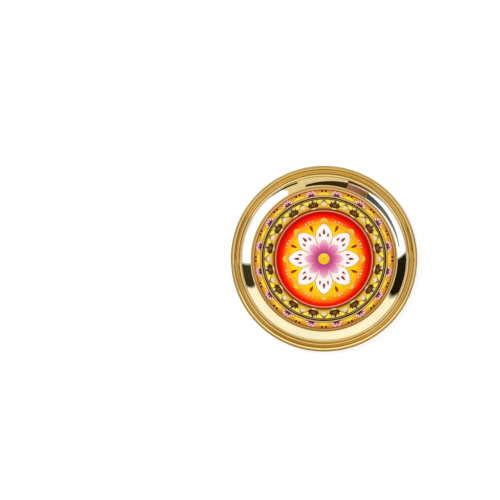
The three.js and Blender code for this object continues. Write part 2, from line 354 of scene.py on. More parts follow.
def medallion_ink():
    """Yellow that glows out to orange and red, narrower across than up and centred low."""
    centre_drop = 2.0 * MM
    narrowing = 1.04
    blur = 1.2 * MM
    glow_start, glow_end = 30 * MM, 60 * MM
    material, nodes = new_material("medallion_ink")
    shift = {0: nodes.place(), 1: (0, centre_drop, 0)}
    shifted = nodes.add("VectorMath", shift, operation="ADD").outputs[0]
    reach = nodes.length(shifted, (narrowing, 1, 0))
    soft = nodes.between(nodes.noise(60.0, 3.0), 0.0, 1.0, -blur, blur)
    share = nodes.between(nodes.math("ADD", reach, soft), glow_start, glow_end)
    ink_shader(nodes, nodes.ramp(share, (
        (0, 255, 214, 6), (0.4, 255, 206, 2), (0.56, 255, 168, 4), (0.68, 255, 116, 6),
        (0.79, 255, 36, 0), (0.88, 246, 4, 0), (0.94, 208, 4, 0), (1, 190, 8, 2),
    )))
    return material


def foil_material():
    """Bright foil of the printed disc, which shows only in its bevelled margin."""
    material, nodes = new_material("gold_foil")
    # Darker towards the disc's edge, beside the gap at the cove: painted shade
    foil = nodes.ramp_outwards(spread(OUTER_BAND[1], DISC_RADIUS, (
        (0, 240, 208, 150), (0.5, 238, 204, 150), (0.8, 188, 142, 88), (1, 160, 114, 62),
    )))
    nodes.surface({
        "Base Color": nodes.patchy(foil, nodes.noise(90.0, 3.0), 0.92, 1.03),
        "Metallic": 1.0,
        "Roughness": nodes.varied(nodes.noise(700.0, 3.0), 0.1, 0.2),
        "Normal": nodes.bump(nodes.noise(500.0, 2.0), 0.004 * MM),
    })
    return material


# Shapes


# Rings of a pad from its foot up: scale of the outline, share of the height, nearness to the rim
PAD_LEVELS = ((1, 0, 1), (1, 0.5, 1), (0.96, 0.8, 0.8), (0.84, 0.94, 0.3), (0.5, 1, 0))


def polar(radius, bearing):
    angle = radians(bearing)
    return (radius * sin(angle), radius * cos(angle))


class Form:
    """Gathers a piece's shapes between two levels. A shape's top may be sunk under the upper one.

    Each point keeps how far along its shape it is, and how near its rim.
    """

    def __init__(self, levels=(0.0, 0.0)):
        self.low, self.high = levels
        self.points, self.along, self.rim = [], [], []
        self.faces, self.slots = [], []

    def point(self, x, y, z, along=0.5, rim=0.0):
        self.points.append((x * MM, y * MM, z * MM))
        self.along.append(along)
        self.rim.append(rim)
        return len(self.points) - 1

    def face(self, corners, slot):
        if len(set(corners)) == len(corners):
            self.faces.append(corners)
            self.slots.append(slot)
        else:
            self.face(list(dict.fromkeys(corners)), slot)

    def turn(self, section, slot=0, steps=ROUND_STEPS):
        """A cross-section of (radius, height) turned round the axis, closed there or on itself."""
        rings = []
        for radius, height in section:
            if radius < 1e-6:
                rings.append([self.point(0, 0, height)] * steps)
                continue
            spots = [polar(radius, 360 * step / steps) for step in range(steps)]
            rings.append([self.point(x, y, height) for x, y in spots])
        if section[0][0] > 1e-6:
            rings.append(rings[0])
        for near, far in zip(rings, rings[1:]):
            for step in range(steps):
                after = (step + 1) % steps
                if near[step] != near[after] or far[step] != far[after]:
                    self.face([near[step], near[after], far[after], far[step]], slot)

    def ring(self, inner, outer, edge, sunk=0.0, slot=0, steps=ROUND_STEPS):
        """A flat disc or ring with rounded top corners."""
        low, high, soft = self.low, self.high - sunk, 0.3 * edge
        section = [(inner, low), (outer, low), (outer, high - edge)]
        section += [(outer - soft, high - soft), (outer - edge, high)]
        if inner > 0:
            section += [(inner + edge, high), (inner + soft, high - soft), (inner, high - edge)]
        else:
            section.append((0, high))
        self.turn(section, slot, steps)

    def pad(self, outline, root, tip, sunk=0.0, slot=0):
        """A shape with a crowned top: its outline shrinks towards the middle of its root and tip.

        Where pads overlap, their tops lie at different heights, so that each shows over the last.
        """
        low, high = self.low, self.high - sunk
        middle = Vector(((root[0] + tip[0]) / 2, (root[1] + tip[1]) / 2))
        way = Vector((tip[0] - root[0], tip[1] - root[1]))
        rings = []
        for scale, lift, rim in PAD_LEVELS:
            ring = []
            for x, y in outline:
                spot = middle + (Vector((x, y)) - middle) * scale
                along = (spot - Vector(root)).dot(way) / way.length_squared
                height = low + (high - low) * lift
                ring.append(self.point(spot.x, spot.y, height, min(max(along, 0), 1), rim))
            rings.append(ring)
        count = len(outline)
        for lower, upper in zip(rings, rings[1:]):
            for step in range(count):
                after = (step + 1) % count
                self.face([lower[step], lower[after], upper[after], upper[step]], slot)
        crown = self.point(middle.x, middle.y, high, 0.5, 0)
        base = self.point(middle.x, middle.y, low, 0.5, 0)
        for step in range(count):
            after = (step + 1) % count
            self.face([rings[-1][step], rings[-1][after], crown], slot)
            self.face([rings[0][after], rings[0][step], base], slot)

    def petal(self, root, tip, width, sunk=0.0, slot=0, belly=0.45, round_end=0.8):
        """A pad in the form of a petal from its root to its tip."""
        outline = petal_outline(root, tip, width, belly, round_end)
        self.pad(outline, root, tip, sunk, slot)

    def pairs(self, rows, spot=lambda across, out: (across, out)):
        """Petals at both sides of a middle line.

        A row has root and tip as (across, out), width, depth sunk, slot, belly and round end.
        """
        for side in (-1, 1):
            for root, tip, *settings in rows:
                ends = [spot(across * side, out) for across, out in (root, tip)]
                self.petal(*ends, *settings)

    def hump(self, bearing, base, top, width, power, sunk=0.0, slot=0):
        """A pad in the form of half a wave that stands on a circle, with its top out or in."""
        side = 1 if top > base else -1
        outline = []
        for across, out in hump_outline(width, abs(top - base), power):
            at = base + side * out
            outline.append(polar(at, bearing + degrees(across / at)))
        self.pad(outline, polar(base, bearing), polar(top, bearing), sunk, slot)

    def dot(self, x, y, radius, sunk=0.0, slot=0):
        turns = [pi * step / OUTLINE_STEPS for step in range(2 * OUTLINE_STEPS)]
        outline = [(x + radius * sin(turn), y + radius * cos(turn)) for turn in turns]
        self.pad(outline, (x, y - radius), (x, y + radius), sunk, slot)

    def mesh(self, name, materials):
        mesh = bpy.data.meshes.new(name)
        mesh.from_pydata(self.points, [], self.faces)
        for material in materials:
            mesh.materials.append(material)
        mesh.polygons.foreach_set("material_index", self.slots)
        for attribute, values in (("along", self.along), ("rim", self.rim)):
            mesh.attributes.new(attribute, "FLOAT", "POINT").data.foreach_set("value", values)
        solid = bmesh.new()
        solid.from_mesh(mesh)
        bmesh.ops.recalc_face_normals(solid, faces=solid.faces)
        solid.to_mesh(mesh)
        solid.free()
        mesh.shade_smooth()
        mesh.set_sharp_from_angle(angle=radians(SHARP_ANGLE))
        return mesh

    def place(self, name, materials, slot, *nodes):
        """Adds the form as one piece."""
        place(name, self.mesh(name, materials), slot, nodes)


def petal_outline(root, tip, width, belly, round_end):
    """A closed outline from root to tip and back, widest at the belly's share of its length."""
    way = Vector((tip[0] - root[0], tip[1] - root[1]))
    side = Vector((way.y, -way.x)).normalized()
    power = log(0.5) / log(belly)
    right, left = [], []
    for step in range(OUTLINE_STEPS + 1):
        share = (1 - cos(pi * step / OUTLINE_STEPS)) / 2
        half = width / 2 * max(sin(pi * share**power), 0) ** round_end
        spine = Vector(root) + way * share
        right.append(tuple(spine + side * half))
        left.append(tuple(spine - side * half))
    return [*right, *reversed(left[1:-1])]


def spots_at(bearing):
    """Gives the function that places a point by its way across from a bearing and its radius."""
    def spot(across, out):
        return polar(out, bearing + degrees(across / out))
    return spot


def hump_outline(width, height, power):
    """Half a wave over y = 0: a power of 0.5 gives a round hump, above 1 a pointed one."""
    outline = []
    for step in range(-OUTLINE_STEPS, OUTLINE_STEPS + 1):
        share = step / OUTLINE_STEPS
        outline.append((width / 2 * share, height * cos(share * pi / 2) ** power))
    return outline


def add_object(name, data):
    added = bpy.data.objects.new(name, data)
    bpy.context.scene.collection.objects.link(added)
    return added


def place(name, mesh, slot, nodes=(), matrix=None):
    """Adds a piece to the plate and lets it stand for its CAD nodes."""
    piece = add_object(name, mesh)
    if matrix is not None:
        piece.matrix_world = matrix
    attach(piece, "root")
    if nodes:
        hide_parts(*nodes)


def place_ring(name, material, slot, inner, outer, levels, edge, *nodes):
    """Adds a flat disc or ring of one material."""
    form = Form(levels)
    form.ring(inner, outer, edge)
    form.place(name, [material], slot, *nodes)


def bearings(count, first=0.0):
    """Bearings spread evenly round the plate."""
    return [first + copy * 360 / count for copy in range(count)]


def place_round(name, mesh, slot, node, count, start=0.0, radius=0.0):
    """Adds copies of a motif round the plate, pointing outwards, for the CAD nodes of one name."""
    for copy, bearing in enumerate(bearings(count, start * 360 / count)):
        number = f"{copy + 1:02d}"
        x, y = polar(radius * MM, bearing)
        matrix = Matrix.Translation((x, y, 0)) @ Matrix.Rotation(-radians(bearing), 4, "Z")
        place(f"{name}_{number}", mesh, slot, [f"{node}_{number}"], matrix)


# Dish


def arc(x, z, radius, start, end, step_turn=ARC_STEP):
    """Points of an arc with the sheet's upward side at each, as (r, z, side r, side z)."""
    steps = max(2, round(abs(end - start) / step_turn))
    upward = -1 if end > start else 1
    points = []
    for step in range(1, steps + 1):
        angle = radians(start + (end - start) * step / steps)
        r, u = cos(angle), sin(angle)
        points.append((x + radius * r, z + radius * u, upward * r, upward * u))
    return points


def flank(start, end, slope):
    """The two arcs between a crest and a trough, walked outwards."""
    radius = (end[0] - start[0]) / 2 / sin(radians(slope))
    if end[1] < start[1]:
        first = arc(start[0], start[1] - radius, radius, 90, 90 - slope)
        return first + arc(end[0], end[1] + radius, radius, 270 - slope, 270)
    first = arc(start[0], start[1] + radius, radius, 270, 270 + slope)
    return first + arc(end[0], end[1] - radius, radius, 90 + slope, 90)


def dish_section():
    """The sheet's cross-section: along its underside to the rolled edge, and back over its face."""
    half = SHEET / 2
    bend = ROLL_RADIUS - half
    wall_radius = WALL_RUN / (sin(TOP_TURN) - sin(FOOT_TURN))
    wall_middle = (
        WALL_FOOT[0] - wall_radius * sin(FOOT_TURN),
        WALL_FOOT[1] + wall_radius * cos(FOOT_TURN),
    )
    foot_angle, top_angle = 270 + WALL_FOOT_SLOPE, 270 + WALL_TOP_SLOPE
    line = [(0, half, 0, 1), (FLOOR_RADIUS, half, 0, 1)]
    line += arc(FLOOR_RADIUS, half + COVE_RADIUS, COVE_RADIUS, 270, foot_angle)
    line += arc(*wall_middle, wall_radius, foot_angle, top_angle, WALL_STEP)
    line += arc(LIP[0], LIP[1] - LIP_RADIUS, LIP_RADIUS, 90 + WALL_TOP_SLOPE, 90)
    line += flank(LIP, CHANNEL, LIP_FLANK)
    line += flank(CHANNEL, BEAD, BEAD_FLANK)
    line += flank(BEAD, GROOVE, BEAD_FLANK)
    line += flank(GROOVE, ROLL, ROLL_FLANK)
    line += arc(ROLL[0], ROLL[1] - bend, bend, 90, 0)
    line += arc(ROLL[0], ROLL[1] - bend, bend, 0, 90 - ROLL_TURN)
    under = [(r - half * side_r, z - half * side_z) for r, z, side_r, side_z in line]
    over = [(r + half * side_r, z + half * side_z) for r, z, side_r, side_z in line]
    return under + over[::-1]


def build_dish():
    form = Form()
    form.turn(dish_section())
    form.place("spun_dish", [brass_material()], "brass", "dish")


# Printed disc, its grounds and lines


def build_disc():
    """The printed disc, whose bare margin slopes down to its edge, and the film under it."""
    low, high = heights("carrier_disc")
    edge_height = low + 0.05
    bevel_start = OUTER_BAND[1] + 0.3
    form = Form()
    form.turn([
        (0, low),
        (DISC_RADIUS, low),
        (DISC_RADIUS, edge_height),
        (bevel_start, high),
        (0, high),
    ])
    form.place("printed_disc", [foil_material()], "disc_face", "carrier_disc")
    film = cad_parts["adhesive_film"]
    film.data.materials.clear()
    film_ink = ring_ink("adhesive", ((0, 232, 226, 206), (90, 214, 204, 176)))
    film.data.materials.append(film_ink)


def build_grounds():
    inner_ink = ring_ink("inner_band_ink", (
        (62.4, 130, 74, 12), (63.4, 200, 140, 46), (64.6, 228, 170, 60), (66.0, 247, 194, 74),
        (70.0, 240, 196, 74), (72.4, 196, 170, 76), (74.4, 150, 120, 56),
    ))
    outer_ink = ring_ink("outer_band_ink", (
        (77.8, 236, 198, 132), (78.3, 206, 158, 84), (78.7, 186, 136, 54), (79.4, 218, 156, 52),
        (82.0, 238, 172, 60), (84.0, 222, 146, 42), (85.6, 196, 118, 32),
    ))
    grounds = (
        ("medallion_field", medallion_ink(), "red_ink", 0, MEDALLION_RADIUS, "medallion_ground"),
        ("inner_band_field", inner_ink, "orange_ink", *INNER_BAND, "inner_band_ground"),
        ("outer_band_field", outer_ink, "orange_ink", *OUTER_BAND, "outer_band_ground"),
    )
    for name, material, slot, inner, outer, node in grounds:
        place_ring(name, material, slot, inner, outer, COAT_0, COAT_EDGE, node)


def build_lines():
    """The dark lines of the second coat, and the fine pale ones that fill the gaps of the first."""
    dark = {
        "inner_outline": (
            (0, 160, 80, 34), (0.35, 112, 54, 4), (0.75, 108, 54, 4), (1, 140, 82, 20),
        ),
        "band_divider": (
            (0, 70, 48, 10), (0.16, 64, 42, 8), (0.22, 184, 156, 84), (0.38, 200, 170, 96),
            (0.47, 8, 2, 0), (1, 4, 0, 0),
        ),
        "outer_outline": ((0, 190, 118, 40), (0.4, 118, 64, 18), (1, 124, 76, 32)),
    }
    for node, shares in dark.items():
        inner, outer = inner_radius(node), outer_radius(node)
        name = node + "_line"
        material = ring_ink(name + "_ink", spread(inner, outer, shares))
        place_ring(name, material, "dark_brown_ink", inner, outer, COAT_1, COAT_EDGE, node)
    fine = (
        ("salmon_line", MEDALLION_RADIUS, INNER_BAND[0], "red_ink", (
            (0, 204, 32, 16), (0.2, 244, 122, 94), (0.6, 250, 150, 118), (0.82, 200, 102, 64),
            (1, 120, 58, 12),
        )),
        ("cream_line", INNER_BAND[1], OUTER_BAND[0], "yellow_ink", (
            (0, 6, 2, 0), (0.36, 10, 4, 0), (0.48, 248, 214, 152), (1, 244, 208, 146),
        )),
    )
    inset, sunk = 0.05, 0.02
    levels = (COAT_0[0], COAT_0[1] - sunk)
    for name, inner, outer, slot, shares in fine:
        material = ring_ink(name + "_ink", spread(inner, outer, shares))
        place_ring(name, material, slot, inner + inset, outer - inset, levels, FINE_EDGE)


# Outer band


def build_outer_leaves():
    """Yellow humps between the pink lotuses, on a line, with amber and two marks outside each."""
    amber = ink("amber_ink", ((0, 236, 184, 58), (0.6, 234, 170, 54), (1, 212, 138, 40)))
    lemon = ink("outer_leaf_ink", (
        (0, 186, 156, 40), (0.2, 236, 200, 50), (0.5, 253, 218, 58), (0.85, 252, 212, 54),
        (1, 244, 190, 50),
    ), rim=(206, 158, 40), rim_share=0.6)
    line = ink("outer_leaf_line_ink", ((0, 190, 142, 68), (1, 180, 130, 58)))
    mark = ink("leaf_mark_ink", ((0, 110, 44, 6), (1, 96, 36, 4)), rim=(126, 62, 14), rim_share=0.8)
    start = OUTER_BAND[0] + CLEARANCE
    base = start + LEAF_LINE
    width = 2 * pi * base / REPEATS - PINK_LOTUS_WIDTH - LEAF_GAP
    # Slots: 0 lemon, 1 mark, 2 amber, 3 line
    form = Form(COAT_1)
    form.ring(start, base, 0.1, slot=3)
    for bearing in bearings(REPEATS):
        form.hump(bearing, base, AMBER_TOP, width + 1, 0.6, 0.16, 2)
        form.hump(bearing, base, OUTER_LEAF_TOP, width, 0.72, 0.04)
        form.pairs([((0.8, 84.1), (3.7, 84.5), 2.8, 0, 1, 0.5, 0.4)], spots_at(bearing))
    form.place("outer_leaves", [lemon, mark, amber, line], "yellow_ink", "outer_leaf_ring")


def build_pink_lotuses():
    """Half-open lotuses: a dark fan, and over it petals with magenta roots and pale tips."""
    petal = ink("pink_petal_ink", (
        (0, 110, 24, 66), (0.25, 176, 92, 146), (0.5, 226, 166, 206), (0.75, 246, 204, 220),
        (1, 255, 236, 228),
    ))
    pale = ink("pale_petal_ink", (
        (0, 120, 34, 62), (0.3, 214, 140, 160), (0.5, 252, 222, 216), (1, 255, 242, 228),
    ))
    fan = ink("pink_fan_ink", ((0, 84, 6, 34), (0.4, 116, 34, 72), (1, 150, 84, 84)))
    dot = ink("tip_dot_ink", ((0, 84, 52, 18), (1, 76, 44, 14)))
    pairs = (
        ((2.484, 0.684), (6.9, 1.9), 1.7, 0.08, 3, 0.66, 0.62),
        ((1.764, 1.656), (4.9, 4.6), 1.7, 0.06, 3, 0.66, 0.62),
        ((0.972, 2.34), (2.7, 6.5), 1.7, 0.04, 0, 0.66, 0.62),
    )
    top = 6.0
    foot = OUTER_BAND[0] + 2 * CLEARANCE + LEAF_LINE
    # Slots: 0 petal, 1 fan, 2 dot, 3 pale petal
    form = Form(COAT_1)
    form.pad(hump_outline(12.6, top - 0.2, 0.6), (0, 0), (0, top - 0.2), 0.16, 1)
    form.pairs(pairs)
    form.petal((0, 0.9), (0, top), 1.9, belly=0.6, round_end=0.7)
    form.dot(0, top + 0.75, 0.6, slot=2)
    mesh = form.mesh("pink_lotus", [petal, fan, dot, pale])
    place_round("lotus_pink", mesh, "pink_ink", "pink_lotus", REPEATS, 0.5, foot)


# Inner band


def build_inner_leaves():
    """Amber round each bud, lemon flames at its sides and green ones below them, on a line."""
    amber = ink("inner_leaf_ink", (
        (0, 206, 178, 70), (0.35, 214, 192, 72), (0.6, 240, 198, 76), (1, 248, 194, 76),
    ))
    lemon = ink("flame_ink", (
        (0, 238, 214, 70), (0.3, 255, 234, 76), (0.8, 255, 228, 60), (1, 236, 208, 56),
    ), rim=(206, 178, 50), rim_share=0.55)
    green = ink("green_flame_ink", ((0, 176, 172, 48), (0.6, 198, 190, 62), (1, 228, 196, 84)))
    line = ink("inner_leaf_line_ink", ((0, 150, 122, 50), (1, 120, 92, 30)))
    end = inner_radius("band_divider") - CLEARANCE
    start = end - LEAF_LINE
    flames = (
        ((4.9, 71.2), (3.9, 65.8), 2.6, 0.1, 2, 0.45, 0.8),
        ((7.0, start - 0.1), (6.2, 68.7), 4.6, 0.03, 1, 0.42, 0.55),
        ((1.9, 73.0), (8.8, 70.6), 3.4, 0, 1, 0.45, 0.6),
    )
    # Slots: 0 amber, 1 lemon, 2 green, 3 line
    form = Form(COAT_1)
    form.ring(start, end, 0.1, slot=3)
    for bearing in bearings(REPEATS):
        form.hump(bearing, start, INNER_LEAF_TOP, INNER_LEAF_WIDTH, 0.9, 0.14)
        form.pairs(flames, spots_at(bearing))
    form.place("inner_leaves", [amber, lemon, green, line], "yellow_ink", "inner_leaf_ring")


def build_buds():
    """Cream buds that open inwards from a dark stalk, each below a brown wedge on the line."""
    cream = ink("bud_ink", (
        (0, 222, 186, 150), (0.3, 252, 236, 222), (1, 255, 252, 246),
    ), rim=(206, 170, 120), rim_reach=(0.75, 1.0), rim_share=0.5)
    wedge = ink("bud_wedge_ink", (
        (0, 150, 98, 46), (0.5, 166, 112, 62), (1, 120, 80, 24),
    ), rim=(104, 66, 18), rim_reach=(0.75, 1.0), rim_share=0.8)
    stalk = ink("bud_stalk_ink", ((0, 96, 76, 14), (0.5, 112, 92, 24), (1, 146, 124, 44)))
    shade = ink("bud_shade_ink", ((0, 112, 92, 24), (0.5, 142, 116, 50), (1, 176, 146, 72)))
    line_width = 0.3
    wedge_foot, wedge_top = 75.6, 72.4
    bud_foot, body_top, bud_top = 71.2, 66.6, 65.7
    pairs = (
        ((0, 72.3), (3.7, 69.6), 0.85, 0.04, 2, 0.5, 0.8),
        ((0.3, bud_foot), (3.5, 68.2), 0.8, 0.08, 0, 0.6, 0.7),
        ((0.3, bud_foot), (2.1, 66.2), 0.85, 0.08, 0, 0.6, 0.7),
    )
    end = inner_radius("band_divider") - 1.5 * CLEARANCE
    # Slots: 0 cream, 1 wedge, 2 stalk, 3 shade
    form = Form(COAT_2)
    form.ring(end - line_width, end, COAT_EDGE, 0.1, 2)
    for bearing in bearings(REPEATS):
        form.hump(bearing, wedge_foot, wedge_top, 10.2, 1.1, 0.02, 1)
        form.hump(bearing, bud_foot, body_top, 5.6, 0.8, 0.16, 3)
        form.pairs(pairs, spots_at(bearing))
        ends = polar(bud_foot + 0.2, bearing), polar(bud_top, bearing)
        form.petal(*ends, 1.2, 0.04, belly=0.55, round_end=0.6)
    form.place("white_buds", [cream, wedge, stalk, shade], "white_ink", "bud_garland")


def build_brown_lotuses():
    """Open lotuses: dark pointed petals with brown middles, a cream saucer, cream leaves above."""
    dark = ink("brown_edge_ink", ((0, 64, 30, 0), (0.6, 44, 18, 0), (1, 34, 14, 0)))
    middle = ink("brown_petal_ink", (
        (0, 96, 50, 14), (0.4, 150, 104, 70), (0.75, 124, 76, 38), (1, 84, 42, 8),
    ))
    outer = ink("brown_side_petal_ink", ((0, 80, 38, 4), (0.5, 112, 62, 16), (1, 76, 36, 2)))
    cream = ink("lotus_cream_ink", (
        (0, 206, 182, 126), (0.5, 240, 226, 172), (1, 250, 240, 190),
    ), rim=(140, 110, 56), rim_reach=(0.7, 1.0), rim_share=0.6)
    saucer = ink("saucer_ink", ((0, 214, 186, 128), (0.5, 248, 232, 196), (1, 214, 186, 128)))
    # Slots: 0 dark, 1 middle, 2 outer, 3 cream, 4 saucer
    pairs = (
        ((1.7, 11.4), (2.6, 9.2), 1.7, 0.18, 3, 0.45, 0.6),
        ((3.4, 11.4), (4.1, 9.4), 1.6, 0.18, 3, 0.45, 0.6),
        ((0.9, 2.4), (6.8, 3.7), 2.3, 0.14, 0, 0.5, 1.1),
        ((0.8, 2.2), (8.4, 6.7), 2.5, 0.13, 0, 0.5, 1.1),
        ((0.6, 1.9), (6.2, 9.5), 2.6, 0.12, 0, 0.5, 1.1),
        ((0.3, 1.7), (2.4, 9.3), 2.5, 0.11, 0, 0.5, 1.1),
        ((2.1, 3.1), (5.4, 3.9), 0.8, 0.05, 2, 0.5, 0.7),
        ((2.0, 3.4), (6.4, 6.0), 0.95, 0.04, 2, 0.5, 0.7),
        ((1.5, 3.2), (5.1, 8.3), 1.0, 0.03, 2, 0.5, 0.7),
        ((0.85, 2.7), (2.3, 8.5), 1.0, 0.02, 1, 0.5, 0.7),
    )
    foot = INNER_BAND[0] + INNER_LINE + CLEARANCE
    form = Form(COAT_1)
    form.pairs(pairs)
    form.petal((-3.7, 0.75), (3.7, 0.75), 1.5, 0.02, 4, belly=0.5, round_end=0.5)
    form.dot(0, 4.3, 2.6, 0.15)
    form.petal((0, 1.5), (0, 11.5), 3.0, 0.1, belly=0.46, round_end=1.0)
    form.petal((0, 2.4), (0, 9.2), 1.3, slot=1, belly=0.46, round_end=0.7)
    mesh = form.mesh("brown_lotus", [dark, middle, outer, cream, saucer])
    place_round("lotus_brown", mesh, "lotus_brown_ink", "brown_lotus", REPEATS, 0.5, foot)


# Rosette


def rosette_petal_outline(tip):
    """A petal that fills its sector, but for the gap to the next one, and tapers to its tip."""
    sector = radians(ROSETTE_PITCH / 2)
    right = []
    steps = 2 * OUTLINE_STEPS
    for step in range(steps):
        share = step / steps
        out = PETAL_ROOT + (tip - PETAL_ROOT) * share
        room = out * tan(sector) - PETAL_GAP / 2 / cos(sector)
        narrowing = min(1, ((1 - share) / (1 - PETAL_TAPER_START)) ** PETAL_TAPER)
        right.append((room * narrowing, out))
    left = [(-across, out) for across, out in reversed(right)]
    return [*right, (0, tip), *left]


def build_rosette_petals(tip):
    """White petals with a fine dark outline, a blush at the root and maroon drops."""
    white = ink("rosette_petal_ink", (
        (0, 236, 150, 160), (0.3, 248, 214, 214), (0.52, 255, 244, 242), (0.86, 255, 250, 248),
        (1, 255, 226, 206),
    ), rim=(112, 44, 24), rim_reach=(0.84, 0.92))
    maroon = ink("drop_ink", (
        (0, 176, 54, 40), (0.6, 150, 34, 26), (1, 120, 20, 18),
    ), rim=(232, 150, 110), rim_reach=(0.7, 1.0), rim_share=0.8)
    # Drops: root, tip, width, and how far they reach into the petal and stand over it
    drops = (
        ((0, 30.4), (0, 37.4), 3.2, 0.04, 0.07),
        ((-4.8, 27.2), (-5.2, 32.4), 2.4, 0.05, 0.06),
        ((4.8, 27.2), (5.2, 32.4), 2.4, 0.05, 0.06),
    )
    form = Form(COAT_1)
    form.pad(rosette_petal_outline(tip), (0, PETAL_ROOT), (0, tip))
    for root, end, width, sunk, raised in drops:
        form.low = form.high - sunk
        form.petal(root, end, width, -raised, 1, belly=0.3, round_end=0.7)
    mesh = form.mesh("rosette_petal", [white, maroon])
    place_round("white_petal", mesh, "white_ink", "rosette_petal", ROSETTE_PETALS)


def build_halo(outer):
    """A gold ring with eight tips, small leaves between the petals and pearls between the tips."""
    gold = ink("halo_ink", (
        (0, 246, 176, 40), (0.6, 252, 206, 60), (1, 255, 228, 96),
    ), rim=(140, 54, 12), rim_reach=(0.75, 0.95))
    pearl = ink("pearl_ink", (
        (0, 255, 238, 214), (1, 255, 248, 236),
    ), rim=(170, 40, 24), rim_reach=(0.7, 1.0))
    leaf = ink("gap_leaf_ink", ((0, 196, 60, 20), (0.5, 150, 30, 14), (1, 110, 16, 12)))
    width, height = HALO_TIP
    leaf_ends = (outer - 1.8, 0.77 * outer)
    # Pearls: bearing from the middle one, distance from the ring, radius
    pearls = ((0, 2.6, 0.95), (5.2, 2.08, 0.7), (-5.2, 2.08, 0.7))
    # Slots: 0 gold, 1 pearl, 2 leaf
    form = Form(COAT_1)
    form.ring(outer - HALO_LINE, outer, 0.15)
    for bearing in bearings(ROSETTE_PETALS):
        between = bearing + ROSETTE_PITCH / 2
        form.hump(bearing, outer, outer + height, width, 1.3)
        ends = [polar(radius, between) for radius in leaf_ends]
        form.petal(*ends, 3.4, slot=2, belly=0.35)
        for turn, out, size in pearls:
            form.dot(*polar(outer + out, between + turn), size, slot=1)
    form.place("gold_halo", [gold, pearl, leaf], "orange_ink", "rosette_halo")


def build_inner_flower():
    """Pink petals over the white ones, darker at the root."""
    pink = ink("inner_flower_ink", (
        (0, 150, 24, 84), (0.45, 214, 92, 150), (0.8, 240, 164, 196), (1, 255, 214, 222),
    ), rim=(150, 34, 70), rim_reach=(0.82, 0.95))
    reach = outer_radius("rosette_inner_flower") - 0.1
    # Rounds: first bearing, radii of root and tip, width, depth under the top, belly, round end
    rounds = (
        (ROSETTE_PITCH / 2, 4.0, 19.8, 8.2, 0.08, 0.6, 0.6),
        (0, 3.0, reach, 10.4, 0, 0.58, 0.65),
    )
    form = Form(COAT_2)
    form.ring(0, FLOWER_DISC_RADIUS, 0.08, 0.1, steps=96)
    for first, root, tip, width, sunk, belly, round_end in rounds:
        for bearing in bearings(ROSETTE_PETALS, first):
            ends = polar(root, bearing), polar(tip, bearing)
            form.petal(*ends, width, sunk, belly=belly, round_end=round_end)
    form.place("pink_inner_flower", [pink], "pink_ink", "rosette_inner_flower")


def build_heart():
    """A yellow dome with rings of seeds."""
    yellow = ink("heart_ink", ((0, 250, 196, 20), (1, 255, 226, 60)), rim=(176, 84, 12))
    seed = ink("seed_ink", ((0, 132, 58, 12), (1, 170, 86, 20)))
    radius = outer_radius("rosette_heart")
    # Rings: number of seeds, first bearing, share of the radius, size, depth under the top
    rings = ((12, 0, 0.7, 0.5, 0.04), (6, 30, 0.36, 0.45, 0.02), (1, 0, 0, 0.7, 0))
    form = Form(COAT_3)
    form.dot(0, 0, radius, 0.12)
    for count, first, share, size, sunk in rings:
        for bearing in bearings(count, first):
            form.dot(*polar(share * radius, bearing), size, sunk, 1)
    form.place("yellow_heart", [yellow, seed], "yellow_ink", "rosette_heart")


def build_rosette():
    halo_outer = outer_radius("rosette_halo") - HALO_TIP[1]
    build_halo(halo_outer)
    build_rosette_petals(halo_outer - HALO_LINE - PETAL_GAP)
    build_inner_flower()
    build_heart()


# Studio. Its distances are in metres, but for the floor's


BRASS_TINT = linear(246, 228, 170)

# Cards round the plate: the first one's distance from the axis and the gap to the next one, the
# degrees from column to column, and the number of rows
CARD_DISTANCE = 3.0
CARD_GAP = 0.02
CARD_STEP = 2
CARD_ROWS = 6

# Colours that they give the wall, and where they start or end across it
WHITE = (255, 255, 255)
CREAM = (252, 242, 198)
GOLD = (226, 202, 134)
DUSK = (226, 206, 150)
FULL_LOW = (-1.6, -1.6)
HALF_LOW = (-0.5, -0.5)
SOME_LOW = (-0.15, -0.15)
TOP = (1.0, 1.0)

